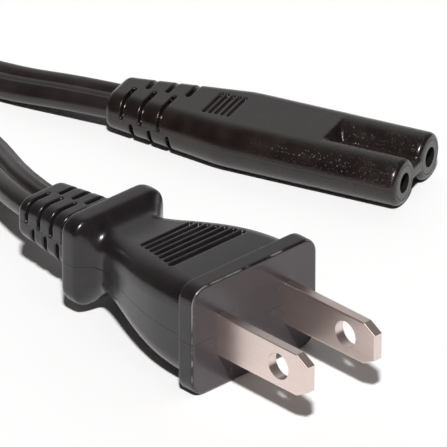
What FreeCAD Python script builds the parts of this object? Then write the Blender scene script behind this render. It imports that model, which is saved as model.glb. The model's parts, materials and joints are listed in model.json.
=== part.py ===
import FreeCAD, Part
import math
import os

V = FreeCAD.Vector
UP = V(0, 0, 1)

# Frame: +X out of the figure-eight mating face, +Z up, origin under the middle of the connector.
# The connector and the plug are each drawn with the mating face at x = 0, the axis along x and
# everything behind the face at negative x, and are then put in their places.

# Contacts: two pins of the appliance inlet go into spring sleeves behind the face.
PIN_PITCH = 8.6
PIN_HOLE_RADIUS = 1.5
PIN_HOLE_DEPTH = 3.0
SLEEVE_BORE_RADIUS = 1.22
SLEEVE_WALL = 0.5
SLEEVE_LENGTH = 11.0
SLEEVE_SLIT = 0.4
SLEEVE_FLOOR = 1.2
CRIMP_WALL = 0.55
CRIMP_LENGTH = 5.5
CARRIER_WALL = 0.78
CARRIER_COVER = 4.8
CARRIER_BRIDGE_HEIGHT = 1.5
CARRIER_BRIDGE_LENGTH = 4.5

# Connector moulding: figure-eight nose, grip of obround section, neck and slotted strain relief.
CONNECTOR_LENGTH = 47.5
LOBE_RADIUS = 3.55
NOSE_WEB_HEIGHT = 2.6
NOSE_LENGTH = 13.4
NOSE_EDGE_ROUND = 0.8
NECK_LENGTH = 7.0
RELIEF_LENGTH = 12.5
RELIEF_FRONT_WIDTH = 13.2
RELIEF_FRONT_HEIGHT = 6.6
RELIEF_REAR_WIDTH = 8.9
RELIEF_REAR_HEIGHT = 5.8
GRIP_GROOVES = 5
GRIP_FIRST_GROOVE = 2.7
GRIP_GROOVE_PITCH = 0.95
GRIP_GROOVE_WIDTH = 0.5
GRIP_GROOVE_DEPTH = 0.4
GRIP_GROOVE_LENGTH = 6.3

# Strain relief slots, in staggered quarters of the section.
SLOT_WIDTH = 0.8
SLOT_DEPTH = 0.8
SLOT_WEB = 0.6
CONNECTOR_SLOTS = 3
CONNECTOR_SLOT_PITCH = 3.2
PLUG_SLOTS = 4
PLUG_SLOT_PITCH = 2.7
FIRST_SLOT = 1.4

# Flat twin cord: two round cores with a web between them.
CORE_RADIUS = 1.8
CORE_PITCH = 3.5
CORD_WEB_HEIGHT = 2.3
STRAND_RADIUS = 0.6
BARED_GAP = 1.0
CORD_GRIP = 8.5
PARTED_PITCH = 4.4

# Plug moulding: flange, swelling body, waist, shoulder and strain relief.
FLANGE_WIDTH = 23.6
FLANGE_HEIGHT = 16.8
FLANGE_THICKNESS = 3.0
FLANGE_CORNER = 2.6
FLANGE_EDGE_ROUND = 0.5
SWELL_LENGTH = 4.0
SWELL_WIDTH = 22.0
SWELL_HEIGHT = 14.6
SWELL_CORNER = 4.4
FLARE_LENGTH = 9.5
FLARE_WIDTH = 17.4
FLARE_HEIGHT = 12.5
WAIST_LENGTH = 6.6
WAIST_WIDTH = 12.8
WAIST_HEIGHT = 10.0
WAIST_CORNER = 3.4
WAIST_RUN = 2.4
SHOULDER_WIDTH = 17.0
SHOULDER_HEIGHT = 13.6
SHOULDER_LENGTH = 4.7
SHOULDER_CORNER = 4.2
SHOULDER_EDGE_ROUND = 1.6
PLUG_RELIEF_LENGTH = 12.8
PLUG_RELIEF_FRONT_WIDTH = 11.2
PLUG_RELIEF_FRONT_HEIGHT = 8.8
PLUG_RELIEF_REAR_WIDTH = 9.4
PLUG_RELIEF_REAR_HEIGHT = 6.4
PLUG_RELIEF_CORNER = 2.2
PLUG_GROOVES = 7
PLUG_LAST_GROOVE = 9.5
PLUG_GROOVE_PITCH = 1.35
PLUG_GROOVE_WIDTH = 0.65
PLUG_GROOVE_DEPTH = 0.5
PLUG_GROOVE_REAR_LENGTH = 9.5
PLUG_GROOVE_FRONT_LENGTH = 14.2

# Blades and the block that holds them.
BLADE_PITCH = 12.7
BLADE_WIDTH = 6.35
BLADE_THICKNESS = 1.5
BLADE_LENGTH = 17.5
BLADE_TIP_LENGTH = 2.1
BLADE_TIP_DROP = 1.2
BLADE_EDGE_ROUND = 0.15
BLADE_HOLE_RADIUS = 1.98
BLADE_HOLE_FROM_FACE = 11.9
BLADE_ROOT = 8.5
BLADE_TAB_WIDTH = 3.2
BLADE_TAIL_LENGTH = 6.5
BLADE_CRIMP_INSET = 2.5
FACE_SKIN = 2.0
BLADE_CARRIER_HEIGHT = 9.2
BLADE_CARRIER_SIDE = 1.6

# Where the plug lies on the surface.
PLUG_X = 25.3
PLUG_Y = -56.3
PLUG_TURN = -20.4

# Coil of the put-away length, and its tie.
COIL_X = -134.0
COIL_Y = -37.0
COIL_INNER_RADIUS = 27.3
COIL_OUTER_RADIUS = 43.4
COIL_EDGE_ROUND = 2.4
COIL_NOTCH_CLEARANCE = 0.8
TIE_ANGLE = 200.0
TIE_WIDTH = 6.0
TIE_THICKNESS = 0.9
TIE_PROUD = 0.4

# Worked out from the sizes above.
GRIP_LENGTH = CONNECTOR_LENGTH - NOSE_LENGTH - NECK_LENGTH - RELIEF_LENGTH
X_FACE = CONNECTOR_LENGTH / 2
HALF_PIN_PITCH = PIN_PITCH / 2
GRIP_WIDTH = PIN_PITCH + 2 * LOBE_RADIUS
SLEEVE_RADIUS = SLEEVE_BORE_RADIUS + SLEEVE_WALL
CRIMP_RADIUS = STRAND_RADIUS + CRIMP_WALL
CARRIER_RADIUS = SLEEVE_RADIUS + CARRIER_WALL
SLEEVE_END = PIN_HOLE_DEPTH + SLEEVE_LENGTH
CRIMP_START = SLEEVE_END + SLEEVE_FLOOR
CRIMP_END = CRIMP_START + CRIMP_LENGTH
CARRIER_LENGTH = CRIMP_START + CARRIER_COVER
NECK_START = NOSE_LENGTH + GRIP_LENGTH
RELIEF_START = NECK_START + NECK_LENGTH
CONNECTOR_CORE_START = max(CRIMP_END, CARRIER_LENGTH) + BARED_GAP
CONNECTOR_CORE_END = CONNECTOR_LENGTH - CORD_GRIP

SHOULDER_START = FLANGE_THICKNESS + SWELL_LENGTH + FLARE_LENGTH + WAIST_LENGTH + WAIST_RUN
PLUG_RELIEF_START = SHOULDER_START + SHOULDER_LENGTH
PLUG_LENGTH = PLUG_RELIEF_START + PLUG_RELIEF_LENGTH
PLUG_Z = FLANGE_HEIGHT / 2
BLADE_TAB_END = BLADE_ROOT + BLADE_THICKNESS
BLADE_TAIL_END = BLADE_ROOT + BLADE_TAIL_LENGTH
PLUG_CORE_START = BLADE_TAIL_END + BARED_GAP
PLUG_CORE_END = PLUG_LENGTH - CORD_GRIP
BLADE_CRIMP_PITCH = BLADE_PITCH - 2 * BLADE_CRIMP_INSET

CORD_WIDTH = CORE_PITCH + 2 * CORE_RADIUS
CORD_Z = CORE_RADIUS
COIL_HEIGHT = 2 * CORD_WIDTH
COIL_OUTER_TURN = COIL_OUTER_RADIUS - CORE_RADIUS
COIL_TOP_TURN_Z = COIL_HEIGHT - CORD_WIDTH / 2

CONNECTOR_PLACE = FreeCAD.Placement(V(X_FACE, 0, LOBE_RADIUS), FreeCAD.Rotation())
PLUG_PLACE = FreeCAD.Placement(V(PLUG_X, PLUG_Y, PLUG_Z), FreeCAD.Rotation(UP, PLUG_TURN))


def box(x0, x1, y0, y1, z0, z1):
    return Part.makeBox(x1 - x0, y1 - y0, z1 - z0, V(x0, y0, z0))


def rod(radius, x0, x1, y=0.0):
    """Cylinder along x."""
    return Part.makeCylinder(radius, x1 - x0, V(x0, y, 0), V(1, 0, 0))


def joined(solids):
    return solids[0].multiFuse(solids[1:]).removeSplitter()


def rounded_rectangle(x, width, height, corner):
    """Closed outline in the plane at x, centred on the axis."""
    y, z = width / 2, height / 2
    c = min(corner, 0.98 * y, 0.98 * z)
    d = c * (1 - math.sqrt(0.5))
    edges = [
        Part.LineSegment(V(x, c - y, -z), V(x, y - c, -z)),
        Part.Arc(V(x, y - c, -z), V(x, y - d, d - z), V(x, y, c - z)),
        Part.LineSegment(V(x, y, c - z), V(x, y, z - c)),
        Part.Arc(V(x, y, z - c), V(x, y - d, z - d), V(x, y - c, z)),
        Part.LineSegment(V(x, y - c, z), V(x, c - y, z)),
        Part.Arc(V(x, c - y, z), V(x, d - y, z - d), V(x, -y, z - c)),
        Part.LineSegment(V(x, -y, z - c), V(x, -y, c - z)),
        Part.Arc(V(x, -y, c - z), V(x, d - y, d - z), V(x, c - y, -z)),
    ]
    return Part.Wire([edge.toShape() for edge in edges])


def obround(x, pitch, radius):
    """Two half circles joined by flat top and bottom."""
    y = pitch / 2
    edges = [
        Part.LineSegment(V(x, -y, -radius), V(x, y, -radius)),
        Part.Arc(V(x, y, -radius), V(x, y + radius, 0), V(x, y, radius)),
        Part.LineSegment(V(x, y, radius), V(x, -y, radius)),
        Part.Arc(V(x, -y, radius), V(x, -y - radius, 0), V(x, -y, -radius)),
    ]
    return Part.Wire([edge.toShape() for edge in edges])


def taper_section(x, width, height):
    """Obround of a given width and height."""
    return obround(x, width - height, height / 2)


def figure_eight(x, pitch, radius, web_height):
    """Two round lobes joined by a straight web."""
    y, w = pitch / 2, web_height / 2
    notch = y - math.sqrt(radius ** 2 - w ** 2)
    edges = [
        Part.LineSegment(V(x, -notch, -w), V(x, notch, -w)),
        Part.Arc(V(x, notch, -w), V(x, y + radius, 0), V(x, notch, w)),
        Part.LineSegment(V(x, notch, w), V(x, -notch, w)),
        Part.Arc(V(x, -notch, w), V(x, -y - radius, 0), V(x, -notch, -w)),
    ]
    return Part.Wire([edge.toShape() for edge in edges])


def prism(outline, length):
    """Solid from an outline, drawn backwards along x."""
    return Part.Face(outline).extrude(V(-length, 0, 0))


def loft(outlines, ruled=True):
    return Part.makeLoft(outlines, True, ruled)


def relief_slots(core, first, count, pitch, reach):
    """Cutters for staggered relief slots: alternate rings cut opposite quarters, down to the core."""
    gap = SLOT_WEB / 2
    cutters = []
    for ring in range(2 * count):
        x = -first - ring * pitch / 2
        side = 1 if ring % 2 == 0 else -1
        for half in (1, -1):
            y0, y1 = sorted((side * half * gap, side * half * reach))
            z0, z1 = sorted((half * gap, half * reach))
            cutters.append(box(x - SLOT_WIDTH / 2, x + SLOT_WIDTH / 2, y0, y1, z0, z1).cut(core))
    return cutters


def core_run(start, end, start_pitch, side):
    """One insulated core, from its crimp in to the parted end of the cord, along two easy bends."""
    y0, y1 = side * start_pitch / 2, side * PARTED_PITCH / 2
    straight = (end - start) / 5
    points = [V(-start, y0, 0), V(-start - straight, y0, 0), V(straight - end, y1, 0), V(-end, y1, 0)]
    ring = Part.Wire([Part.makeCircle(CORE_RADIUS, points[0], V(1, 0, 0))])
    return swept(ring, points)[0]


def route_wire(points):
    """Straight runs joined by tangent arcs as large as the runs allow. Gives the wire and the radii."""
    edges, radii = [], []
    at = points[0]
    for before, here, after in zip(points, points[1:], points[2:]):
        into, out = here - before, after - here
        reach = 0.45 * min(into.Length, out.Length)
        into.normalize()
        out.normalize()
        half_turn = into.getAngle(out) / 2
        radius = reach / math.tan(half_turn)
        inward = out - into
        inward.normalize()
        first, last = here - into * reach, here + out * reach
        middle = here + inward * (radius / math.cos(half_turn) - radius)
        edges.append(Part.LineSegment(at, first).toShape())
        edges.append(Part.Arc(first, middle, last).toShape())
        radii.append(radius)
        at = last
    edges.append(Part.LineSegment(at, points[-1]).toShape())
    return Part.Wire(edges), radii


def swept(outline, points):
    """Solid of an outline that stays upright along a route."""
    path, radii = route_wire(points)
    pipe = Part.BRepOffsetAPI.MakePipeShell(path)
    pipe.setBiNormalMode(UP)
    pipe.add(outline)
    pipe.build()
    pipe.makeSolid()
    return pipe.shape(), path, radii


def cord_run(name, points):
    """A stretch of the flat twin cord."""
    outline = figure_eight(0, CORE_PITCH, CORE_RADIUS, CORD_WEB_HEIGHT)
    direction = points[1] - points[0]
    outline.Placement = FreeCAD.Placement(points[0], FreeCAD.Rotation(direction, V(), UP, "XZY"))
    solid, path, radii = swept(outline, points)
    expected = Part.Face(outline).Area * path.Length
    print(name, "length %.1f" % path.Length, "volume ratio %.4f" % (solid.Volume / expected),
          "radii", [round(radius, 1) for radius in radii])
    return solid


def contact_carrier():
    tubes = []
    for side in (1, -1):
        y = side * HALF_PIN_PITCH
        tubes.append(rod(CARRIER_RADIUS, -CARRIER_LENGTH, 0, y))
    bridge = box(-CARRIER_LENGTH, CARRIER_BRIDGE_LENGTH - CARRIER_LENGTH, -HALF_PIN_PITCH, HALF_PIN_PITCH,
                 -CARRIER_BRIDGE_HEIGHT / 2, CARRIER_BRIDGE_HEIGHT / 2)
    outside = joined(tubes + [bridge])
    carrier = outside
    for side in (1, -1):
        y = side * HALF_PIN_PITCH
        carrier = carrier.cut(rod(PIN_HOLE_RADIUS, -PIN_HOLE_DEPTH, 0, y))
        carrier = carrier.cut(rod(SLEEVE_RADIUS, -CARRIER_LENGTH, -PIN_HOLE_DEPTH, y))
    return carrier, outside


def contact(side):
    """Slit spring sleeve with a crimp barrel behind it."""
    y = side * HALF_PIN_PITCH
    sleeve = rod(SLEEVE_RADIUS, -CRIMP_START, -PIN_HOLE_DEPTH, y)
    barrel = rod(CRIMP_RADIUS, -CRIMP_END, -CRIMP_START, y)
    piece = joined([sleeve, barrel])
    piece = piece.cut(rod(SLEEVE_BORE_RADIUS, -SLEEVE_END, -PIN_HOLE_DEPTH, y))
    piece = piece.cut(rod(STRAND_RADIUS, -CRIMP_END, -CRIMP_START, y))
    slit = box(-SLEEVE_END, -PIN_HOLE_DEPTH, y - SLEEVE_SLIT / 2, y + SLEEVE_SLIT / 2, 0, SLEEVE_RADIUS)
    return piece.cut(slit)


def connector_outside():
    nose = prism(figure_eight(0, PIN_PITCH, LOBE_RADIUS, NOSE_WEB_HEIGHT), NOSE_LENGTH)
    front = [edge for edge in nose.Edges if edge.BoundBox.XMin > -0.01]
    nose = nose.makeFillet(NOSE_EDGE_ROUND, front)
    grip = prism(obround(-NOSE_LENGTH, PIN_PITCH, LOBE_RADIUS), GRIP_LENGTH)
    neck = loft([
        obround(-NECK_START, PIN_PITCH, LOBE_RADIUS),
        taper_section(-RELIEF_START, RELIEF_FRONT_WIDTH, RELIEF_FRONT_HEIGHT),
    ])
    relief, core = [
        loft([
            taper_section(-RELIEF_START, RELIEF_FRONT_WIDTH - 2 * inset, RELIEF_FRONT_HEIGHT - 2 * inset),
            taper_section(-CONNECTOR_LENGTH, RELIEF_REAR_WIDTH - 2 * inset, RELIEF_REAR_HEIGHT - 2 * inset),
        ])
        for inset in (0.0, SLOT_DEPTH)
    ]
    body = joined([nose, grip, neck, relief])
    slots = relief_slots(core, RELIEF_START + FIRST_SLOT, CONNECTOR_SLOTS, CONNECTOR_SLOT_PITCH,
                         RELIEF_FRONT_WIDTH)
    floor = LOBE_RADIUS - GRIP_GROOVE_DEPTH
    grooves = []
    for row in range(GRIP_GROOVES):
        x = GRIP_FIRST_GROOVE + row * GRIP_GROOVE_PITCH - RELIEF_START
        grooves.append(box(x - GRIP_GROOVE_WIDTH / 2, x + GRIP_GROOVE_WIDTH / 2,
                           -GRIP_GROOVE_LENGTH / 2, GRIP_GROOVE_LENGTH / 2, floor, 2 * LOBE_RADIUS))
    return body.cut(slots + grooves)


def plug_outside():
    flange = prism(rounded_rectangle(0, FLANGE_WIDTH, FLANGE_HEIGHT, FLANGE_CORNER), FLANGE_THICKNESS)
    rims = [edge for edge in flange.Edges if edge.BoundBox.XLength < 0.01]
    flange = flange.makeFillet(FLANGE_EDGE_ROUND, rims)
    swell_end = FLANGE_THICKNESS + SWELL_LENGTH
    flare_end = swell_end + FLARE_LENGTH
    waist_start = flare_end + WAIST_LENGTH
    swell = loft([
        rounded_rectangle(-FLANGE_THICKNESS, SWELL_WIDTH, SWELL_HEIGHT, SWELL_CORNER),
        rounded_rectangle(-swell_end, SWELL_WIDTH, SWELL_HEIGHT, SWELL_CORNER),
        rounded_rectangle(-flare_end, FLARE_WIDTH, FLARE_HEIGHT, SWELL_CORNER),
        rounded_rectangle(-waist_start, WAIST_WIDTH, WAIST_HEIGHT, WAIST_CORNER),
    ], ruled=False)
    waist = prism(rounded_rectangle(-waist_start, WAIST_WIDTH, WAIST_HEIGHT, WAIST_CORNER), WAIST_RUN)
    shoulder = prism(rounded_rectangle(-SHOULDER_START, SHOULDER_WIDTH, SHOULDER_HEIGHT, SHOULDER_CORNER),
                     SHOULDER_LENGTH)
    shoulder_rims = [edge for edge in shoulder.Edges if edge.BoundBox.XLength < 0.01]
    shoulder = shoulder.makeFillet(SHOULDER_EDGE_ROUND, shoulder_rims)
    relief, core = [
        loft([
            rounded_rectangle(-PLUG_RELIEF_START, PLUG_RELIEF_FRONT_WIDTH - 2 * inset,
                              PLUG_RELIEF_FRONT_HEIGHT - 2 * inset, PLUG_RELIEF_CORNER - inset),
            rounded_rectangle(-PLUG_LENGTH, PLUG_RELIEF_REAR_WIDTH - 2 * inset,
                              PLUG_RELIEF_REAR_HEIGHT - 2 * inset, PLUG_RELIEF_CORNER - inset),
        ])
        for inset in (0.0, SLOT_DEPTH)
    ]
    body = joined([flange, swell, waist, shoulder, relief])
    slots = relief_slots(core, PLUG_RELIEF_START + FIRST_SLOT, PLUG_SLOTS, PLUG_SLOT_PITCH,
                         PLUG_RELIEF_FRONT_WIDTH)
    return body.cut(slots + plug_grooves(swell_end))


def plug_grooves(swell_end):
    """Finger grooves across the top of the swelling body, longer towards the flange."""
    step = (PLUG_GROOVE_FRONT_LENGTH - PLUG_GROOVE_REAR_LENGTH) / (PLUG_GROOVES - 1)
    fall = (SWELL_HEIGHT - FLARE_HEIGHT) / 2 / FLARE_LENGTH
    grooves = []
    for row in range(PLUG_GROOVES):
        x = (row - PLUG_GROOVES + 1) * PLUG_GROOVE_PITCH - PLUG_LAST_GROOVE
        half = (PLUG_GROOVE_REAR_LENGTH + row * step) / 2
        floor = SWELL_HEIGHT / 2 + fall * (x + swell_end) - PLUG_GROOVE_DEPTH
        grooves.append(box(x - PLUG_GROOVE_WIDTH / 2, x + PLUG_GROOVE_WIDTH / 2, -half, half,
                           floor, SWELL_HEIGHT))
    return grooves


def blade_carrier():
    half_width = BLADE_PITCH / 2 + BLADE_THICKNESS / 2 + BLADE_CARRIER_SIDE
    return box(-BLADE_ROOT, -FACE_SKIN, -half_width, half_width,
               -BLADE_CARRIER_HEIGHT / 2, BLADE_CARRIER_HEIGHT / 2)


def blade(side):
    """Plated blade with a locking hole and a chamfered tip, and a crimp barrel on a bent tab behind."""
    y = side * BLADE_PITCH / 2
    h = BLADE_WIDTH / 2
    tip = h - BLADE_TIP_DROP
    back = BLADE_THICKNESS / 2
    outline = Part.makePolygon([
        V(-BLADE_ROOT, y - back, -h), V(BLADE_LENGTH - BLADE_TIP_LENGTH, y - back, -h),
        V(BLADE_LENGTH, y - back, -tip), V(BLADE_LENGTH, y - back, tip),
        V(BLADE_LENGTH - BLADE_TIP_LENGTH, y - back, h), V(-BLADE_ROOT, y - back, h),
        V(-BLADE_ROOT, y - back, -h),
    ])
    plate = Part.Face(outline).extrude(V(0, BLADE_THICKNESS, 0))
    plate = plate.makeFillet(BLADE_EDGE_ROUND, plate.Edges)
    hole = Part.makeCylinder(BLADE_HOLE_RADIUS, BLADE_PITCH, V(BLADE_HOLE_FROM_FACE, y - BLADE_PITCH / 2, 0),
                             V(0, 1, 0))
    crimp_y = side * BLADE_CRIMP_PITCH / 2
    tab_y = sorted((crimp_y, y + side * back))
    tab = box(-BLADE_TAB_END, -BLADE_ROOT, *tab_y, -BLADE_TAB_WIDTH / 2, BLADE_TAB_WIDTH / 2)
    barrel = rod(CRIMP_RADIUS, -BLADE_TAIL_END, -BLADE_ROOT, crimp_y)
    bore = rod(STRAND_RADIUS, -BLADE_TAIL_END, -BLADE_TAB_END, crimp_y)
    return joined([plate.cut(hole), tab, barrel]).cut(bore)


def coil_and_tie(cords):
    """Ring of the outer shape of the coil, notched where the cord comes in and goes out."""
    centre = V(COIL_X, COIL_Y, 0)
    ring = Part.makeCylinder(COIL_OUTER_RADIUS, COIL_HEIGHT)
    ring = ring.cut(Part.makeCylinder(COIL_INNER_RADIUS, COIL_HEIGHT))
    rims = [edge for edge in ring.Edges if edge.BoundBox.ZLength < 0.01]
    ring = ring.makeFillet(COIL_EDGE_ROUND, rims)
    ring.translate(centre)
    width = COIL_OUTER_RADIUS - COIL_INNER_RADIUS + 2 * TIE_PROUD
    height = COIL_HEIGHT + TIE_PROUD
    band = prism(rounded_rectangle(TIE_WIDTH / 2, width, height, COIL_EDGE_ROUND), TIE_WIDTH)
    inside = prism(rounded_rectangle(TIE_WIDTH / 2, width - 2 * TIE_THICKNESS, height - 2 * TIE_THICKNESS,
                                     COIL_EDGE_ROUND - TIE_THICKNESS), TIE_WIDTH)
    tie = band.cut(inside)
    turn = FreeCAD.Rotation(UP, TIE_ANGLE)
    middle = (COIL_OUTER_RADIUS + COIL_INNER_RADIUS) / 2
    tie.Placement = FreeCAD.Placement(centre + turn.multVec(V(middle, 0, 0)) + V(0, 0, height / 2),
                                      FreeCAD.Rotation(UP, TIE_ANGLE + 90))
    coil = ring.cut(tie)
    for before, end, floor, roof in cords:
        way = end - before
        half = CORD_WIDTH / 2 + COIL_NOTCH_CLEARANCE
        notch = box(-2 * COIL_HEIGHT, 0, -half, half, floor, roof)
        notch.Placement = FreeCAD.Placement(end, FreeCAD.Rotation(way, V(), UP, "XZY"))
        coil = coil.cut(notch)
    return coil, tie


def connector_route():
    """Cord from inside the connector's strain relief to the lower outside turn of the coil."""
    tail = X_FACE - CONNECTOR_LENGTH
    return [
        V(tail + CORD_GRIP, 0, LOBE_RADIUS),
        V(tail - 4.8, 0, LOBE_RADIUS),
        V(-44.0, 0.8, CORD_Z),
        V(-67.0, 4.8, CORD_Z),
        V(-92.0, 6.8, CORD_Z),
        V(-115.5, 6.1, CORD_Z),
        V(COIL_X - 3.0, COIL_Y + COIL_OUTER_TURN - 0.1, CORD_Z),
    ]


def plug_route():
    """Cord from inside the plug's strain relief, round to the upper outside turn of the coil."""
    return [
        PLUG_PLACE.multVec(V(-PLUG_CORE_END, 0, 0)),
        PLUG_PLACE.multVec(V(-PLUG_LENGTH - 4.0, 0, 0)),
        V(-39.0, -15.8, CORD_Z),
        V(-57.3, -9.6, CORD_Z),
        V(-74.8, -13.6, CORD_Z),
        V(-87.7, -26.5, 5.4),
        V(-91.3, -37.4, COIL_TOP_TURN_Z),
        V(-93.8, -47.2, COIL_TOP_TURN_Z),
    ]


def main():
    nodes = {}
    connector_points, plug_points = connector_route(), plug_route()
    nodes["cord_connector_end"] = cord_run("connector cord", connector_points)
    nodes["cord_plug_end"] = cord_run("plug cord", plug_points)
    nodes["cord_coil"], nodes["cord_tie"] = coil_and_tie([
        (connector_points[-2], connector_points[-1], -CORD_Z, CORD_WIDTH / 2),
        (plug_points[-2], plug_points[-1], CORD_Z - COIL_TOP_TURN_Z, COIL_HEIGHT),
    ])

    carrier, carrier_outside = contact_carrier()
    connector_cut, plug_cut = [carrier_outside], [blade_carrier()]
    holder = blade_carrier()
    connector_pieces, plug_pieces = {}, {}
    for word, side in (("left", 1), ("right", -1)):
        sleeve = contact(side)
        strands = rod(STRAND_RADIUS, -CONNECTOR_CORE_START, -CRIMP_START, side * HALF_PIN_PITCH)
        core = core_run(CONNECTOR_CORE_START, CONNECTOR_CORE_END, PIN_PITCH, side)
        connector_pieces[word + "_contact"] = sleeve
        connector_pieces[word + "_connector_strands"] = strands
        connector_pieces[word + "_connector_core"] = core
        connector_cut += [sleeve, strands, core]

        plate = blade(side)
        plug_strands = rod(STRAND_RADIUS, -PLUG_CORE_START, -BLADE_TAB_END, side * BLADE_CRIMP_PITCH / 2)
        plug_core = core_run(PLUG_CORE_START, PLUG_CORE_END, BLADE_CRIMP_PITCH, side)
        plug_pieces[word + "_blade"] = plate
        plug_pieces[word + "_plug_strands"] = plug_strands
        plug_pieces[word + "_plug_core"] = plug_core
        plug_cut += [plate, plug_strands, plug_core]
        holder = holder.cut(plate)

    connector_pieces["contact_carrier"] = carrier
    connector_pieces["connector_body"] = connector_outside().cut(connector_cut)
    plug_pieces["blade_carrier"] = holder
    plug_pieces["plug_body"] = plug_outside().cut(plug_cut)
    for place, pieces in ((CONNECTOR_PLACE, connector_pieces), (PLUG_PLACE, plug_pieces)):
        for name, piece in pieces.items():
            nodes[name] = piece.transformed(place.toMatrix())
    nodes["connector_body"] = nodes["connector_body"].cut(nodes["cord_connector_end"])
    nodes["plug_body"] = nodes["plug_body"].cut(nodes["cord_plug_end"])

    os.makedirs("parts", exist_ok=True)
    for name, shape in sorted(nodes.items()):
        solids = shape.Solids
        print(name, "valid", shape.isValid(), "solids", len(solids), "volume %.1f" % shape.Volume)
        solid = solids[0] if len(solids) == 1 else shape
        solid.exportStep("parts/" + name + ".step")


main()
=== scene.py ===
import bmesh
import bpy
import json
import math
from mathutils import Matrix, Vector


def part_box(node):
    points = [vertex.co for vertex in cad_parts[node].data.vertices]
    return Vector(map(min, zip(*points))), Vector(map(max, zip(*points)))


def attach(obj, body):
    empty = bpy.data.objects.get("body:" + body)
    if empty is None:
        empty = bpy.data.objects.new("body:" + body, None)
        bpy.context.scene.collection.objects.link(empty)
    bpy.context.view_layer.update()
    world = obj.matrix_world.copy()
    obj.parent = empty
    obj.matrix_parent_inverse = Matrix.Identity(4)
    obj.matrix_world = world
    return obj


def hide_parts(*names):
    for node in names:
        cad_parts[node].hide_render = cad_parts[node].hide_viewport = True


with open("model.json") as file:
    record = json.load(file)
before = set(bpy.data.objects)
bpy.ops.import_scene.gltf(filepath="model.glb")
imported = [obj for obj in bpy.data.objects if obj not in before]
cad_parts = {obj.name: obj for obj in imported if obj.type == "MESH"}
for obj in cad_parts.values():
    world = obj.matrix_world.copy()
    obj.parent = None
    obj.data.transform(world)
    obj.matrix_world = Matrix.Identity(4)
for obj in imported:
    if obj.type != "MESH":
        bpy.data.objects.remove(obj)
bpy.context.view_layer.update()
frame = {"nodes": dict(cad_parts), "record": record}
nodes = frame["nodes"]
MM = 0.001


# Contact carrier: two tubes and a bridge of hard black nylon, injection moulded in one piece.
# The soft connector is moulded round it, so only its two tube ends show, as rings round the pin holes.
def linear(hex_colour):
    """An sRGB hex colour as linear RGBA."""
    parts = [int(hex_colour[i:i + 2], 16) / 255 for i in (1, 3, 5)]
    return [p / 12.92 if p <= 0.04045 else ((p + 0.055) / 1.055) ** 2.4 for p in parts] + [1.0]


def add_node(tree, kind, inputs=None, **settings):
    """Adds a shader node. Each input is a plain value, or the output that it is linked from."""
    node = tree.nodes.new("ShaderNode" + kind)
    for name, value in settings.items():
        setattr(node, name, value)
    set_inputs(tree, node, inputs or {})
    return node


def set_inputs(tree, node, inputs):
    for name, value in inputs.items():
        if isinstance(value, bpy.types.NodeSocket):
            tree.links.new(value, node.inputs[name])
        else:
            node.inputs[name].default_value = value


def new_material(name):
    """An empty material's node tree, its shader and the Object coordinates that its patterns read."""
    material = bpy.data.materials.new(name)
    material.use_nodes = True
    tree = material.node_tree
    tree.nodes.clear()
    shader = add_node(tree, "BsdfPrincipled")
    add_node(tree, "OutputMaterial", {"Surface": shader.outputs["BSDF"]})
    return material, tree, shader, add_node(tree, "TexCoord").outputs["Object"]


def set_ramp(ramp, stops):
    """Sets a colour ramp's stops, given as (place, sRGB hex colour)."""
    elements = ramp.color_ramp.elements
    while len(elements) < len(stops):
        elements.new(1.0)
    for element, (place, colour) in zip(elements, stops):
        element.position = place
        element.color = linear(colour)


def dress(name, material):
    """Gives a node of the frame its finish."""
    for material_slot in nodes[name].material_slots:
        material_slot.material = material


# Hard nylon from a polished mould: smooth black that takes up the white of the table.
# It is faintly mottled by its fibres.
NYLON_FIBRE = 0.25 * MM
nylon, tree, shader, spot = new_material("glass_filled_nylon")
fibres = add_node(tree, "TexNoise", {"Vector": spot, "Scale": 1 / NYLON_FIBRE, "Detail": 2.0})
mottle = add_node(tree, "ValToRGB", {"Fac": fibres.outputs["Fac"]})
set_ramp(mottle, [(0.3, "#191515"), (0.7, "#262222")])
grain = add_node(tree, "Bump", {"Height": fibres.outputs["Fac"], "Strength": 0.2, "Distance": 0.01 * MM})
set_inputs(tree, shader, {"Base Color": mottle.outputs["Color"], "Roughness": 0.2, "IOR": 1.53,
                          "Normal": grain.outputs["Normal"]})
dress("contact_carrier", nylon)


# Contacts: two slit spring sleeves of stamped brass with a crimp barrel behind, pushed into the carrier.
# Each is crimped to the bared copper strands of one core before the connector is moulded round them.
# Rolled brass strip, stamped and bent: bright yellow metal with fine lines along the rolling direction.
ROLLING_LINE = 0.15 * MM
brass, tree, shader, spot = new_material("stamped_brass")
along = add_node(tree, "Mapping", {"Vector": spot, "Scale": (0.05, 1.0, 1.0)})
lines = add_node(tree, "TexNoise", {"Vector": along.outputs["Vector"], "Scale": 1 / ROLLING_LINE,
                                    "Detail": 3.0})
tone = add_node(tree, "ValToRGB", {"Fac": lines.outputs["Fac"]})
set_ramp(tone, [(0.3, "#a08348"), (0.7, "#d8bd7c")])
set_inputs(tree, shader, {"Base Color": tone.outputs["Color"], "Metallic": 1.0, "Roughness": 0.3})

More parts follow.
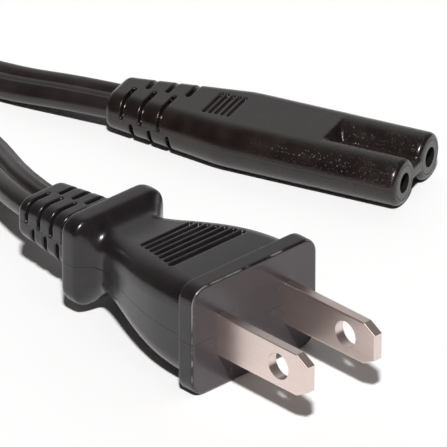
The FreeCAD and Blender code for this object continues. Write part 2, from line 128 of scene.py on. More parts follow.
# Bare copper wire, drawn and bunched: red-brown strands laid at a slant, with painted shade in the gaps
# between them.
# A wave texture at scale 1 repeats once in BAND_PERIOD.
BAND_PERIOD = 0.314
STRAND_WIDTH = 0.2 * MM
STRAND_LAY = math.radians(20)
copper, tree, shader, spot = new_material("bare_copper_strands")
lay = add_node(tree, "Mapping", {"Vector": spot, "Rotation": (0.0, 0.0, STRAND_LAY)})
strands = add_node(tree, "TexWave", {"Vector": lay.outputs["Vector"], "Scale": BAND_PERIOD / STRAND_WIDTH},
                   bands_direction="Y")
# The dark end of this ramp is painted shade in the gaps between the strands.
tone = add_node(tree, "ValToRGB", {"Fac": strands.outputs["Fac"]})
set_ramp(tone, [(0.1, "#6a3a20"), (0.8, "#d98a5c")])
rounds = add_node(tree, "Bump", {"Height": strands.outputs["Fac"], "Strength": 0.6, "Distance": 0.05 * MM})
set_inputs(tree, shader, {"Base Color": tone.outputs["Color"], "Metallic": 1.0, "Roughness": 0.35,
                          "Normal": rounds.outputs["Normal"]})
for side in ("left", "right"):
    dress(side + "_contact", brass)
    dress(side + "_connector_strands", copper)
    dress(side + "_plug_strands", copper)


# Connector moulding: one piece of soft black PVC, moulded over the carrier and the end of the cord.
# A figure-eight nose, a flat-topped grip with finger grooves, and a taper slotted to bend with the cord.
RING_STEPS = 36


def drawn_block(stations):
    """Closed block drawn along x through rounded outlines, each given as (x, width, height, corner)."""
    bm = bmesh.new()
    half_step = Matrix.Rotation(math.pi / RING_STEPS, 4, "Z")
    rings = []
    for x, width, height, corner in stations:
        ring = bmesh.ops.create_circle(bm, segments=RING_STEPS, radius=corner, matrix=half_step)["verts"]
        for vert in ring:
            y, z, _ = vert.co
            vert.co = (x, y + math.copysign(width / 2 - corner, y), z + math.copysign(height / 2 - corner, z))
        rings.append(list(dict.fromkeys(edge for vert in ring for edge in vert.link_edges)))
    for here, beyond in zip(rings, rings[1:]):
        bmesh.ops.bridge_loops(bm, edges=here + beyond)
    bmesh.ops.holes_fill(bm, edges=bm.edges)
    bmesh.ops.recalc_face_normals(bm, faces=bm.faces)
    return bm


def round_bar(radius, x0, x1, y, front_round=0.0):
    """Closed bar along x, with its edge at x1 rounded where a size is given."""
    bm = bmesh.new()
    bmesh.ops.create_cone(bm, cap_ends=True, segments=64, radius1=radius, radius2=radius, depth=x1 - x0)
    bmesh.ops.rotate(bm, verts=bm.verts, matrix=Matrix.Rotation(math.pi / 2, 3, "Y"))
    bmesh.ops.translate(bm, verts=bm.verts, vec=((x0 + x1) / 2, y, 0))
    if front_round:
        rim = [edge for edge in bm.edges if all(vert.co.x > x1 - 0.001 for vert in edge.verts)]
        bmesh.ops.bevel(bm, geom=rim, affect="EDGES", offset=front_round, segments=6, profile=0.5,
                        material=-1)
    return bm


def block(x0, x1, y0, y1, z0, z1):
    """Closed box between two corners, whose ends may be given in either order."""
    bm = bmesh.new()
    bmesh.ops.create_cube(bm, size=1.0)
    bmesh.ops.scale(bm, verts=bm.verts, vec=(abs(x1 - x0), abs(y1 - y0), abs(z1 - z0)))
    bmesh.ops.translate(bm, verts=bm.verts, vec=((x0 + x1) / 2, (y0 + y1) / 2, (z0 + z1) / 2))
    return bm


def gathered(name, shells):
    """One mesh object of several closed shells."""
    bm = bmesh.new()
    for shell in shells:
        mesh = bpy.data.meshes.new(name)
        shell.to_mesh(mesh)
        shell.free()
        bm.from_mesh(mesh)
        bpy.data.meshes.remove(mesh)
    mesh = bpy.data.meshes.new(name)
    bm.to_mesh(mesh)
    bm.free()
    thing = bpy.data.objects.new(name, mesh)
    bpy.context.scene.collection.objects.link(thing)
    return thing


def moulded(name, solids, cuts, cores, skin, place):
    """One soft moulding: the solids less the cuts, with the cores left in, and its edges eased.
    Skin is the size of the easing in mm, and place takes the piece from mm to its place."""
    body = gathered(name, solids)
    tools = []
    for operation, shells in (("DIFFERENCE", cuts), ("UNION", cores)):
        tools.append(gathered(name + "_tool", shells))
        step = body.modifiers.new(operation, "BOOLEAN")
        step.operation = operation
        step.solver = "EXACT"
        step.use_self = True
        step.object = tools[-1]
    softened = body.modifiers.new("softened", "REMESH")
    softened.mode = "VOXEL"
    softened.voxel_size = skin
    eased = body.modifiers.new("eased", "SMOOTH")
    eased.factor = 0.5
    eased.iterations = 4
    thinned = body.modifiers.new("thinned", "DECIMATE")
    thinned.ratio = 0.6
    finished = bpy.data.meshes.new_from_object(body.evaluated_get(bpy.context.evaluated_depsgraph_get()))
    for tool in tools:
        bpy.data.objects.remove(tool)
    body.modifiers.clear()
    body.data = finished
    finished.transform(place)
    finished.shade_smooth()
    return body


SLOT_WIDTH = 0.66
SLOT_DEPTH = 0.9
SLOT_WEB = 0.5


def quarter_slots(first, pitch, rings, reach):
    """Cuts for a strain relief's slots. Each ring is slotted in two opposite quarters of its section,
    and the next ring in the other two."""
    cuts = []
    for ring in range(rings):
        x = -first - ring * pitch / 2
        side = 1 if ring % 2 == 0 else -1
        for up in (1, -1):
            out = side * up
            cuts.append(block(x - SLOT_WIDTH / 2, x + SLOT_WIDTH / 2, out * SLOT_WEB / 2, out * reach,
                              up * SLOT_WEB / 2, up * reach))
    return cuts


def inset(stations, depth):
    """The same block's stations, smaller all round."""
    return [(x, width - 2 * depth, height - 2 * depth, corner - depth)
            for x, width, height, corner in stations]


PIN_PITCH = 8.6
LOBE_RADIUS = 3.55
NOSE_LENGTH = 13.4
NOSE_ROUND = 0.8
NOSE_OVERLAP = 3.0
WEB_HEIGHT = 2.6
WEB_CORNER = 0.4
WEB_STEP = 1.2
CARRIER_RADIUS = 2.5
CARRIER_LENGTH = 20.0
GRIP_WIDTH = PIN_PITCH + 2 * LOBE_RADIUS
GRIP_HEIGHT = 2 * LOBE_RADIUS
GRIP_CORNER = LOBE_RADIUS - 0.05
TAPER_START = 28.0
TAPER_EASE = 0.8
TAPER_END = 46.9
TAIL_WIDTH = 9.0
TAIL_HEIGHT = 5.9
TAIL_LIP = 0.8
CONNECTOR_SKIN = 0.15
connector_low, connector_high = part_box("connector_body")
connector_length = (connector_high.x - connector_low.x) / MM


def taper_station(x, corner):
    """Outline of the connector at x, on its straight taper from the grip to the tail."""
    along = (-x - TAPER_START) / (TAPER_END - TAPER_START)
    width = GRIP_WIDTH + along * (TAIL_WIDTH - GRIP_WIDTH)
    height = GRIP_HEIGHT + along * (TAIL_HEIGHT - GRIP_HEIGHT)
    return (x, width, height, corner)


solids = [
    drawn_block([
        (-NOSE_LENGTH, GRIP_WIDTH, GRIP_HEIGHT, GRIP_CORNER),
        (TAPER_EASE - TAPER_START, GRIP_WIDTH, GRIP_HEIGHT, GRIP_CORNER),
        taper_station(-TAPER_START - TAPER_EASE, 3.4), taper_station(-TAPER_END, 2.6),
        (-connector_length, TAIL_WIDTH - TAIL_LIP, TAIL_HEIGHT - TAIL_LIP, 2.2),
    ]),
    drawn_block([
        (-NOSE_LENGTH - NOSE_OVERLAP, PIN_PITCH, GRIP_HEIGHT, WEB_CORNER),
        (-NOSE_LENGTH, PIN_PITCH, GRIP_HEIGHT, WEB_CORNER),
        (WEB_STEP - NOSE_LENGTH, PIN_PITCH, WEB_HEIGHT, WEB_CORNER),
        (-NOSE_ROUND, PIN_PITCH, WEB_HEIGHT, WEB_CORNER),
        (-0.3 * NOSE_ROUND, PIN_PITCH, WEB_HEIGHT - 0.6 * NOSE_ROUND, WEB_CORNER),
        (0, PIN_PITCH, WEB_HEIGHT - 1.6 * NOSE_ROUND, WEB_CORNER),
    ]),
]
cuts = []
for side in (1, -1):
    y = side * PIN_PITCH / 2
    solids.append(round_bar(LOBE_RADIUS, -NOSE_LENGTH - NOSE_OVERLAP, 0, y, NOSE_ROUND))
    cuts.append(round_bar(CARRIER_RADIUS, -CARRIER_LENGTH, 1, y))

CONNECTOR_FIRST_SLOT = 36.6
CONNECTOR_SLOT_PITCH = 3.2
CONNECTOR_SLOT_RINGS = 6
cuts += quarter_slots(CONNECTOR_FIRST_SLOT, CONNECTOR_SLOT_PITCH, CONNECTOR_SLOT_RINGS, GRIP_WIDTH)
GRIP_GROOVES = 5
GRIP_FIRST_GROOVE = 28.5
GRIP_GROOVE_PITCH = 0.95
GRIP_GROOVE_WIDTH = 0.5
GRIP_GROOVE_LENGTH = 6.3
GRIP_GROOVE_DEPTH = 0.45
for row in range(GRIP_GROOVES):
    x = -GRIP_FIRST_GROOVE - row * GRIP_GROOVE_PITCH
    top = taper_station(x, 0)[2] / 2
    cuts.append(block(x - GRIP_GROOVE_WIDTH / 2, x + GRIP_GROOVE_WIDTH / 2, -GRIP_GROOVE_LENGTH / 2,
                      GRIP_GROOVE_LENGTH / 2, top - GRIP_GROOVE_DEPTH, GRIP_HEIGHT))
core_ends = [taper_station(-TAPER_START - 2, 3.2), taper_station(0.5 - TAPER_END, 2.7)]
core = drawn_block(inset(core_ends, SLOT_DEPTH))
connector_place = Matrix.Translation((connector_high.x, 0, connector_high.z / 2)) @ Matrix.Scale(MM, 4)
connector = moulded("connector_moulding", solids, cuts, [core], CONNECTOR_SKIN, connector_place)

# Soft PVC from a spark-eroded mould: warm black, satin, with fine pips that sparkle in the light.
# It is worn smoother towards the tail, smooth on the front face, and has a faint line at the mould's parting.
PIP_SPACING = 0.37 * MM
PARTING_LINE = 0.07 * MM
FACE_SKIN = 0.3 * MM
WORN_X = -6.0 * MM
FRESH_X = 23.2 * MM
pvc, tree, shader, spot = new_material("spark_textured_pvc")
cells = add_node(tree, "TexVoronoi", {"Vector": spot, "Scale": 1 / PIP_SPACING})
domes = add_node(tree, "MapRange", {"Value": cells.outputs["Distance"], "From Min": 0.0, "From Max": 0.38,
                                    "To Min": 1.0, "To Max": 0.0}, interpolation_type="SMOOTHSTEP")
pips = add_node(tree, "Math", {0: domes.outputs["Result"], 1: cells.outputs["Color"]}, operation="MULTIPLY")
axes = add_node(tree, "SeparateXYZ", {"Vector": spot})
wear = add_node(tree, "MapRange", {"Value": axes.outputs["X"], "From Min": WORN_X, "From Max": FRESH_X,
                                   "To Min": 0.12, "To Max": 0.9})
face = add_node(tree, "MapRange", {"Value": axes.outputs["X"], "From Min": connector_high.x - FACE_SKIN,
                                   "From Max": connector_high.x - 0.2 * FACE_SKIN,
                                   "To Min": 1.0, "To Max": 0.05})
depth = add_node(tree, "Math", {0: wear.outputs["Result"], 1: face.outputs["Result"]}, operation="MULTIPLY")
grained = add_node(tree, "Bump", {"Height": pips.outputs["Value"], "Strength": depth.outputs["Value"],
                                  "Distance": 0.14 * MM})
above = add_node(tree, "Math", {0: axes.outputs["Z"], 1: connector_high.z / 2}, operation="SUBTRACT")
off_line = add_node(tree, "Math", {0: above.outputs["Value"]}, operation="ABSOLUTE")
ridge = add_node(tree, "MapRange", {"Value": off_line.outputs["Value"], "From Min": 0.0,
                                    "From Max": PARTING_LINE, "To Min": 1.0, "To Max": 0.0})
seamed = add_node(tree, "Bump", {"Height": ridge.outputs["Result"], "Strength": 0.5, "Distance": 0.05 * MM,
                                 "Normal": grained.outputs["Normal"]})
cloud = add_node(tree, "TexNoise", {"Vector": spot, "Scale": 1 / (3 * MM), "Detail": 3.0})
tone = add_node(tree, "ValToRGB", {"Fac": cloud.outputs["Fac"]})
set_ramp(tone, [(0.3, "#170f0f"), (0.7, "#231a19")])
polish = add_node(tree, "MapRange", {"Value": cloud.outputs["Fac"], "From Min": 0.3, "From Max": 0.7,
                                     "To Min": 0.2, "To Max": 0.3})
set_inputs(tree, shader, {"Base Color": tone.outputs["Color"], "Roughness": polish.outputs["Result"],
                          "IOR": 1.53, "Normal": seamed.outputs["Normal"]})
connector.data.materials.append(pvc)
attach(connector, "root")
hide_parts("connector_body")


# Cord: flat twin flex, two stranded copper cores side by side in one extrusion of black PVC, one core ribbed.
# About 1.7 m long; what isn't needed is wound on edge into a flat coil in two layers, held by a tie.
CORE_RADIUS = 1.8 * MM
CORE_PITCH = 3.5 * MM
CORD_WIDTH = CORE_PITCH + 2 * CORE_RADIUS
COIL_CENTRE = Vector((-0.134, -0.037))
COIL_OUTER_TURN = 41.6 * MM
COIL_PITCH = 3.7 * MM
COIL_LAYER_TURNS = 3.35
COIL_STEPS = 16
COIL_START = math.radians(94.4)
COIL_CLIMB_TURNS = 0.5
FLAT = 0.0
ON_EDGE = math.pi / 2
CORD_IN_PLUG = 34.5 * MM
CORD_BEFORE_PLUG = 47.0 * MM
plug_mount = next(mount for mount in frame["record"]["mounts"] if mount["name"] == "plug_blades")
plug_face = Vector(plug_mount["pos_m"])
plug_way = Vector(plug_mount["axis"])

connector_run = [
    (-0.01525, 0, 0.00355), (-0.02855, 0, 0.00355), (-0.044, 0.0008, 0.0018), (-0.067, 0.0048, 0.0018),
    (-0.092, 0.0068, 0.0018), (-0.1155, 0.0061, 0.0022),
]
plug_run = [
    (-0.0893, -0.0308, 0.0094), (-0.0836, -0.0196, 0.0056), (-0.0748, -0.0136, 0.0026),
    (-0.0573, -0.0096, 0.0018), (-0.039, -0.0158, 0.0018),
    plug_face - CORD_BEFORE_PLUG * plug_way, plug_face - CORD_IN_PLUG * plug_way,
]
route = [(Vector(point), FLAT) for point in connector_run]
for step in range(round(2 * COIL_LAYER_TURNS * COIL_STEPS) + 1):
    turn = step / COIL_STEPS
    layer = min(max((turn - COIL_LAYER_TURNS) / COIL_CLIMB_TURNS + 0.5, 0.0), 1.0)
    radius = COIL_OUTER_TURN - COIL_PITCH * (COIL_LAYER_TURNS - abs(turn - COIL_LAYER_TURNS))
    angle = COIL_START + 2 * math.pi * turn
    flat = COIL_CENTRE + radius * Vector((math.cos(angle), math.sin(angle)))
    route.append((Vector((*flat, CORD_WIDTH * (0.5 + layer))), ON_EDGE))
route += [(Vector(point), FLAT) for point in plug_run]

curve = bpy.data.curves.new("cord_route", "CURVE")
curve.dimensions = "3D"
curve.twist_mode = "Z_UP"
curve.resolution_u = 6
spline = curve.splines.new("NURBS")
spline.points.add(len(route) - 1)
for point, (place, tilt) in zip(spline.points, route):
    point.co = (*place, 1.0)
    point.tilt = tilt
spline.order_u = 3
spline.use_endpoint_u = True
bare = bpy.data.objects.new("cord_route", curve)
bpy.context.scene.collection.objects.link(bare)
bpy.context.view_layer.update()
line = bpy.data.meshes.new_from_object(bare.evaluated_get(bpy.context.evaluated_depsgraph_get()))
bpy.data.meshes.remove(line)

LOBE_STEPS = 30
WEB_HALF = 0.7 * MM
RIB_STEPS = (3, 6, 9)
RIB_HEIGHT = 0.2 * MM
open_angle = math.pi - math.asin(WEB_HALF / CORE_RADIUS)
outline = bpy.data.curves.new("cord_outline", "CURVE")
outline.dimensions = "2D"
edge = outline.splines.new("POLY")
edge.use_cyclic_u = True
edge.points.add(2 * LOBE_STEPS + 1)
for side, first in ((1, 0), (-1, LOBE_STEPS + 1)):
    for step in range(LOBE_STEPS + 1):
        angle = open_angle * (2 * step / LOBE_STEPS - 1)
        radius = CORE_RADIUS + (RIB_HEIGHT if side == -1 and step in RIB_STEPS else 0)
        edge.points[first + step].co = (side * (CORE_PITCH / 2 + radius * math.cos(angle)),
                                        side * radius * math.sin(angle), 0.0, 1.0)
profile = bpy.data.objects.new("cord_outline", outline)
bpy.context.scene.collection.objects.link(profile)
curve.bevel_mode = "OBJECT"
curve.bevel_object = profile
curve.use_fill_caps = True
bpy.context.view_layer.update()
skin = bpy.data.meshes.new_from_object(bare.evaluated_get(bpy.context.evaluated_depsgraph_get()))
bpy.data.objects.remove(bare)
bpy.data.objects.remove(profile)
skin.shade_smooth()
cord = bpy.data.objects.new("cord", skin)
bpy.context.scene.collection.objects.link(cord)

# Soft PVC extruded through a die: black, satin, slightly uneven, with a fine orange peel.
DIE_PEEL = 0.5 * MM
flex, tree, shader, spot = new_material("extruded_pvc")
peel = add_node(tree, "TexNoise", {"Vector": spot, "Scale": 1 / DIE_PEEL, "Detail": 2.0})
uneven = add_node(tree, "Bump", {"Height": peel.outputs["Fac"], "Strength": 0.3, "Distance": 0.05 * MM})
cloud = add_node(tree, "TexNoise", {"Vector": spot, "Scale": 1 / (4 * MM), "Detail": 2.0})
tone = add_node(tree, "ValToRGB", {"Fac": cloud.outputs["Fac"]})
set_ramp(tone, [(0.3, "#1d1717"), (0.7, "#2a2222")])
polish = add_node(tree, "MapRange", {"Value": cloud.outputs["Fac"], "From Min": 0.3, "From Max": 0.7,
                                     "To Min": 0.25, "To Max": 0.33})
set_inputs(tree, shader, {"Base Color": tone.outputs["Color"], "Roughness": polish.outputs["Result"],
                          "IOR": 1.53, "Normal": uneven.outputs["Normal"]})
cord.data.materials.clear()
cord.data.materials.append(flex)
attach(cord, "root")
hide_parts("cord_connector_end", "cord_coil", "cord_plug_end")
for side in ("left", "right"):
    dress(side + "_connector_core", flex)
    dress(side + "_plug_core", flex)


# Tie: one strap of black nylon tape, woven with hooks on one face and loops on the other.
# It goes once round the coil, pulled tight, and its loose end is pressed on to its own start on top.
TIE_ANGLE = math.radians(200)
TIE_WIDTH = 6.0 * MM
TIE_THICKNESS = 0.9 * MM
TIE_ACROSS = 16.0 * MM
TIE_HEIGHT = 13.7 * MM
TIE_CORNER = 1.95 * MM
TIE_LAP = 6.0 * MM
TIE_CORNER_STEPS = 6
COIL_MIDDLE = 35.35 * MM
side_middle = TIE_ACROSS / 2 - TIE_CORNER
top_middle = TIE_HEIGHT / 2 - TIE_CORNER
strap = [(0.0, TIE_HEIGHT / 2)]
for corner in range(4):
    start = math.pi / 2 - corner * math.pi / 2
    for step in range(TIE_CORNER_STEPS + 1):
        angle = start - step / TIE_CORNER_STEPS * math.pi / 2
        middle = start - math.pi / 4
        strap.append((math.copysign(side_middle, math.cos(middle)) + TIE_CORNER * math.cos(angle),
                      math.copysign(top_middle, math.sin(middle)) + TIE_CORNER * math.sin(angle)))
strap.append((-2 * TIE_THICKNESS, TIE_HEIGHT / 2))
strap.append((0.0, TIE_HEIGHT / 2 + TIE_THICKNESS))
strap.append((TIE_LAP, TIE_HEIGHT / 2 + TIE_THICKNESS))
tape_line = bpy.data.curves.new("tape_line", "CURVE")
tape_line.dimensions = "2D"
tape_line.fill_mode = "NONE"
tape_line.extrude = TIE_WIDTH / 2
run = tape_line.splines.new("POLY")
run.points.add(len(strap) - 1)
for point, (across, height) in zip(run.points, strap):
    point.co = (across, height, 0.0, 1.0)
loop = bpy.data.objects.new("tape_line", tape_line)
bpy.context.scene.collection.objects.link(loop)
bpy.context.view_layer.update()
tape_mesh = bpy.data.meshes.new_from_object(loop.evaluated_get(bpy.context.evaluated_depsgraph_get()))
bpy.data.objects.remove(loop)
bm = bmesh.new()
bm.from_mesh(tape_mesh)
bmesh.ops.recalc_face_normals(bm, faces=bm.faces)
bmesh.ops.solidify(bm, geom=bm.faces[:], thickness=TIE_THICKNESS)
bmesh.ops.recalc_face_normals(bm, faces=bm.faces)
bm.to_mesh(tape_mesh)
bm.free()
outward = Vector((math.cos(TIE_ANGLE), math.sin(TIE_ANGLE), 0))
up = Vector((0, 0, 1))
tie_turn = Matrix((outward, up, outward.cross(up))).transposed().to_4x4()
tie_place = Vector((*COIL_CENTRE, (TIE_HEIGHT + TIE_THICKNESS) / 2)) + COIL_MIDDLE * outward
tape_mesh.transform(Matrix.Translation(tie_place) @ tie_turn)
tie = bpy.data.objects.new("cord_strap", tape_mesh)
bpy.context.scene.collection.objects.link(tie)

# Woven nylon tape: dull black with no shine of its own, ribbed along its length and fuzzy with loops.
TAPE_RIB = 0.5 * MM
TAPE_LOOP = 0.2 * MM
tape, tree, shader, spot = new_material("woven_nylon_tape")
turned = add_node(tree, "Mapping", {"Vector": spot, "Rotation": (0.0, 0.0, -TIE_ANGLE)})
ribs = add_node(tree, "TexWave", {"Vector": turned.outputs["Vector"], "Scale": BAND_PERIOD / TAPE_RIB,
                                  "Distortion": 0.6}, bands_direction="Y")
fuzz = add_node(tree, "TexNoise", {"Vector": spot, "Scale": 1 / TAPE_LOOP, "Detail": 2.0})
ribbed = add_node(tree, "Bump", {"Height": ribs.outputs["Fac"], "Strength": 0.6, "Distance": 0.12 * MM})
looped = add_node(tree, "Bump", {"Height": fuzz.outputs["Fac"], "Strength": 0.6, "Distance": 0.1 * MM,
                                 "Normal": ribbed.outputs["Normal"]})
tone = add_node(tree, "ValToRGB", {"Fac": fuzz.outputs["Fac"]})
set_ramp(tone, [(0.35, "#161616"), (0.7, "#2a2929")])
set_inputs(tree, shader, {"Base Color": tone.outputs["Color"], "Roughness": 0.85, "Sheen Weight": 0.2,
                          "Normal": looped.outputs["Normal"]})
tie.data.materials.append(tape)
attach(tie, "root")
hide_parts("cord_tie")


# Blades: two stamped brass blades, pierced, chamfered at the tip, nickel plated and crimped to a core each.
# They are held at their spacing by a block of the same hard nylon, and the plug is moulded round both.
# Nickel plate over rolled strip: pale warm metal that mirrors softly, drawn out along the rolling lines.
PLATE_LINE = 0.12 * MM
plug_turn = plug_way.to_track_quat("X", "Z")
plate, tree, shader, spot = new_material("nickel_plated_brass")
drawn = add_node(tree, "Mapping", {"Vector": spot, "Rotation": plug_turn.inverted().to_euler()})
stretched = add_node(tree, "Mapping", {"Vector": drawn.outputs["Vector"], "Scale": (0.04, 1.0, 1.0)})
lines = add_node(tree, "TexNoise", {"Vector": stretched.outputs["Vector"], "Scale": 1 / PLATE_LINE,
                                    "Detail": 3.0})
tone = add_node(tree, "ValToRGB", {"Fac": lines.outputs["Fac"]})
set_ramp(tone, [(0.3, "#e2d0c9"), (0.7, "#e9d9d2")])
dull = add_node(tree, "MapRange", {"Value": lines.outputs["Fac"], "From Min": 0.3, "From Max": 0.7,
                                   "To Min": 0.33, "To Max": 0.38})
set_inputs(tree, shader, {"Base Color": tone.outputs["Color"], "Metallic": 1.0,
                          "Roughness": dull.outputs["Result"]})
for side in ("left", "right"):
    dress(side + "_blade", plate)
dress("blade_carrier", nylon)


# Plug moulding: one piece of soft black PVC, moulded over the blades, their carrier and the end of the cord.
# A square flange, a body that narrows to a waist, a boxy shoulder to pull by, and a slotted strain relief.
FLANGE_ROUND = 0.35
FLANGE = (23.6, 16.8, 2.6)
FLANGE_THICKNESS = 3.0
RELIEF_START = 29.6
RELIEF_END = 42.5
PLUG_END = 43.0
PLUG_SKIN = 0.19
plug_place = Matrix.Translation(plug_face) @ plug_turn.to_matrix().to_4x4() @ Matrix.Scale(MM, 4)


def flange_station(x, depth):
    """Outline of the flange at x, drawn in by a depth for its rounded edges."""
    width, height, corner = FLANGE
    return (x, width - 2 * depth, height - 2 * depth, corner - depth)


def smooth_between(a, b, c, d, t):
    """The value at t, from 0 at b to 1 at c, on a smooth line through four values."""
    slope = (c - a) / 2
    bend = a - 2.5 * b + 2 * c - d / 2
    twist = 1.5 * (b - c) + (d - a) / 2
    return b + t * (slope + t * (bend + t * twist))


def flowing(stations, steps):
    """Stations along a smooth line through the given ones."""
    flow = []
    for before, here, beyond, after in zip(stations[:1] + stations, stations, stations[1:],
                                           stations[2:] + stations[-1:]):
        for step in range(steps):
            flow.append([smooth_between(*values, step / steps)
                         for values in zip(before, here, beyond, after)])
    return flow + stations[-1:]


relief = [(-RELIEF_START, 11.2, 9.0, 2.6), (-RELIEF_END, 9.4, 6.4, 2.2), (-PLUG_END, 8.8, 5.8, 1.9)]
solids = [
    drawn_block([
        flange_station(0, FLANGE_ROUND), flange_station(-0.3 * FLANGE_ROUND, 0.3 * FLANGE_ROUND),
        flange_station(-FLANGE_ROUND, 0), flange_station(FLANGE_ROUND - FLANGE_THICKNESS, 0),
        flange_station(0.3 * FLANGE_ROUND - FLANGE_THICKNESS, 0.3 * FLANGE_ROUND),
        flange_station(-FLANGE_THICKNESS, FLANGE_ROUND),
    ]),
    drawn_block(flowing([
        (-2.0, 22.0, 14.5, 3.6), (-5.5, 21.9, 14.5, 3.6), (-9.0, 21.3, 14.2, 3.8),
        (-12.0, 20.1, 13.7, 3.9), (-15.0, 18.4, 12.9, 3.9), (-18.0, 16.3, 11.9, 3.8),
        (-20.5, 14.4, 10.9, 3.6), (-22.5, 13.0, 10.2, 3.4), (-24.1, 12.4, 9.9, 3.4),
        (-25.2, 12.8, 10.2, 3.3), (-26.1, 14.2, 11.4, 3.1), (-26.7, 15.7, 12.6, 2.9),
        (-27.1, 16.6, 13.3, 2.8), (-27.6, 17.0, 13.6, 2.7), (-29.2, 17.0, 13.6, 2.7),
        (-29.9, 16.6, 13.2, 2.7), (-30.3, 15.6, 12.3, 2.6),
    ], 4)),
    drawn_block(relief),
]
PLUG_FIRST_SLOT = 31.6
PLUG_SLOT_PITCH = 2.7
PLUG_SLOT_RINGS = 8
PLUG_SLOT_REACH = 9.0
cuts = quarter_slots(PLUG_FIRST_SLOT, PLUG_SLOT_PITCH, PLUG_SLOT_RINGS, PLUG_SLOT_REACH)
PLUG_GROOVES = 7
PLUG_LAST_GROOVE = 9.5
PLUG_GROOVE_PITCH = 1.35
PLUG_GROOVE_WIDTH = 0.78
PLUG_GROOVE_LENGTH = 9.5
PLUG_GROOVE_GROWTH = 0.78
PLUG_GROOVE_FLOOR = 6.35
PLUG_GROOVE_FALL = 0.11
PLUG_GROOVE_TOP = 12.0
for row in range(PLUG_GROOVES):
    back = (PLUG_GROOVES - 1 - row) * PLUG_GROOVE_PITCH
    half = (PLUG_GROOVE_LENGTH + row * PLUG_GROOVE_GROWTH) / 2
    x = -PLUG_LAST_GROOVE - back
    cuts.append(block(x - PLUG_GROOVE_WIDTH / 2, x + PLUG_GROOVE_WIDTH / 2, -half, half,
                      PLUG_GROOVE_FLOOR - PLUG_GROOVE_FALL * back, PLUG_GROOVE_TOP))
core = drawn_block(inset(relief[:2], SLOT_DEPTH))
plug = moulded("plug_moulding", solids, cuts, [core], PLUG_SKIN, plug_place)

# Soft PVC from a polished mould: smooth satin black, faintly wavy, with a fine line where its halves met.
# A broken pale line is painted along the flange's front edge as a highlight.
# Its front face is painted greyer, a painted reflection of the white paper in front of it.
WAVE = 2.5 * MM
EDGE_HIGHLIGHT_WIDTH = 0.2 * MM
PAINTED_REFLECTION_SKIN = 0.1 * MM
satin, tree, shader, spot = new_material("smooth_satin_pvc")
wave = add_node(tree, "TexNoise", {"Vector": spot, "Scale": 1 / WAVE, "Detail": 3.0})
wavy = add_node(tree, "Bump", {"Height": wave.outputs["Fac"], "Strength": 0.3, "Distance": 0.08 * MM})
tone = add_node(tree, "ValToRGB", {"Fac": wave.outputs["Fac"]})
set_ramp(tone, [(0.3, "#1a1617"), (0.7, "#242021")])
polish = add_node(tree, "MapRange", {"Value": wave.outputs["Fac"], "From Min": 0.3, "From Max": 0.7,
                                     "To Min": 0.21, "To Max": 0.28})
own = add_node(tree, "Mapping", {"Vector": spot, "Location": plug_face, "Rotation": plug_turn.to_euler()},
               vector_type="TEXTURE")
axes = add_node(tree, "SeparateXYZ", {"Vector": own.outputs["Vector"]})
off_line = add_node(tree, "Math", {0: axes.outputs["Z"]}, operation="ABSOLUTE")
ridge = add_node(tree, "MapRange", {"Value": off_line.outputs["Value"], "From Min": 0.0,
                                    "From Max": PARTING_LINE, "To Min": 1.0, "To Max": 0.0})
seamed = add_node(tree, "Bump", {"Height": ridge.outputs["Result"], "Strength": 0.7, "Distance": 0.06 * MM,
                                 "Normal": wavy.outputs["Normal"]})
# Painted highlight: a broken pale line along the flange's front edge, mixed into the base colour.
past_edge = add_node(tree, "Math", {0: axes.outputs["X"], 1: EDGE_HIGHLIGHT_WIDTH}, operation="ADD")
edge_off = add_node(tree, "Math", {0: past_edge.outputs["Value"]}, operation="ABSOLUTE")
edge_highlight_band = add_node(tree, "MapRange", {"Value": edge_off.outputs["Value"], "From Min": 0.2 * EDGE_HIGHLIGHT_WIDTH,
                                        "From Max": 0.6 * EDGE_HIGHLIGHT_WIDTH, "To Min": 0.7, "To Max": 0.0})
gaps = add_node(tree, "MapRange", {"Value": wave.outputs["Fac"], "From Min": 0.42, "From Max": 0.56})
painted_highlight_mask = add_node(tree, "Math", {0: edge_highlight_band.outputs["Result"], 1: gaps.outputs["Result"]},
                  operation="MULTIPLY")
highlight_painted_tone = add_node(tree, "Mix", {"Factor": painted_highlight_mask.outputs["Value"], 6: tone.outputs["Color"],
                               7: linear("#8c8686")}, data_type="RGBA")
# Painted reflection: the front face is painted greyer where it would mirror the white paper.
painted_reflection_mask = add_node(tree, "MapRange", {"Value": axes.outputs["X"], "From Min": -PAINTED_REFLECTION_SKIN,
                                    "From Max": -0.4 * PAINTED_REFLECTION_SKIN})
reflection_painted_tone = add_node(tree, "Mix", {"Factor": painted_reflection_mask.outputs["Result"], 6: highlight_painted_tone.outputs[2],
                                 7: linear("#433d40")}, data_type="RGBA")
set_inputs(tree, shader, {"Base Color": reflection_painted_tone.outputs[2], "Roughness": polish.outputs["Result"],
                          "IOR": 1.53, "Normal": seamed.outputs["Normal"]})
plug.data.materials.append(satin)
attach(plug, "root")
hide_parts("plug_body")
on_cord = ["blade_carrier"]
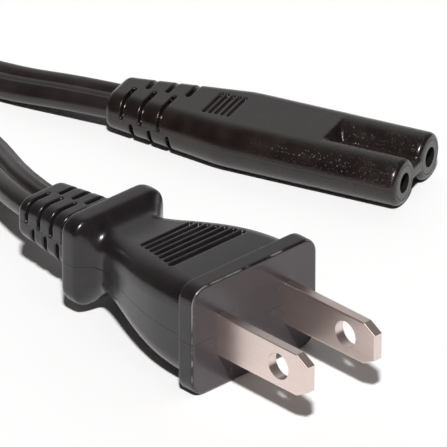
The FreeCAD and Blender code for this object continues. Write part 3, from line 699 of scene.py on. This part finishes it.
for side in ("left", "right"):
    on_cord += [side + "_blade", side + "_plug_strands", side + "_plug_core"]


# Studio: white paper under the object, a small flash above the camera, a pale wall behind and a dark room
# in front. The paper shows in the glossy plastic and the plate, the wall on the tops, the room between them.
bm = bmesh.new()
bmesh.ops.create_grid(bm, x_segments=1, y_segments=1, size=3.0)
ground = bpy.data.meshes.new("floor")
bm.to_mesh(ground)
bm.free()
floor = bpy.data.objects.new("floor", ground)
bpy.context.scene.collection.objects.link(floor)
paper, tree, shader, spot = new_material("white_paper")
set_inputs(tree, shader, {"Base Color": linear("#ffffff"), "Roughness": 0.9, "Specular IOR Level": 0.0})
floor.data.materials.append(paper)

WALL_WAY = Vector((-0.4, 0.85, 0.35)).normalized()
world = bpy.data.worlds.new("studio")
world.use_nodes = True
tree = world.node_tree
tree.nodes.clear()
look = add_node(tree, "TexCoord")
towards = add_node(tree, "VectorMath", {0: look.outputs["Generated"], 1: WALL_WAY}, operation="DOT_PRODUCT")
room = add_node(tree, "ValToRGB", {"Fac": towards.outputs["Value"]})
set_ramp(room, [(0.0, "#34312f"), (0.45, "#54514f"), (0.7, "#7c7a79"), (0.92, "#c4c4c4")])
sky = add_node(tree, "Background", {"Color": room.outputs["Color"], "Strength": 1.0})
add_node(tree, "OutputWorld", {"Surface": sky.outputs["Background"]})
bpy.context.scene.world = world

lamp = bpy.data.lights.new("flash", "SUN")
lamp.angle = math.radians(5)
lamp.energy = 3.4
flash = bpy.data.objects.new("flash", lamp)
flash.rotation_euler = Vector((-0.27, 0.536, -0.8)).to_track_quat("-Z", "Y").to_euler()
bpy.context.scene.collection.objects.link(flash)

lens = bpy.data.cameras.new("camera")
lens.lens = 683.3
lens.sensor_width = 36.0
lens.clip_start = 0.01
camera = bpy.data.objects.new("camera", lens)
camera.location = (0.46325, -0.96671, 0.57695)
camera.rotation_euler = Vector((-0.38348, 0.78854, -0.48079)).to_track_quat("-Z", "Y").to_euler()
bpy.context.scene.collection.objects.link(camera)
bpy.context.scene.camera = camera
bpy.context.scene.view_settings.view_transform = "Standard"
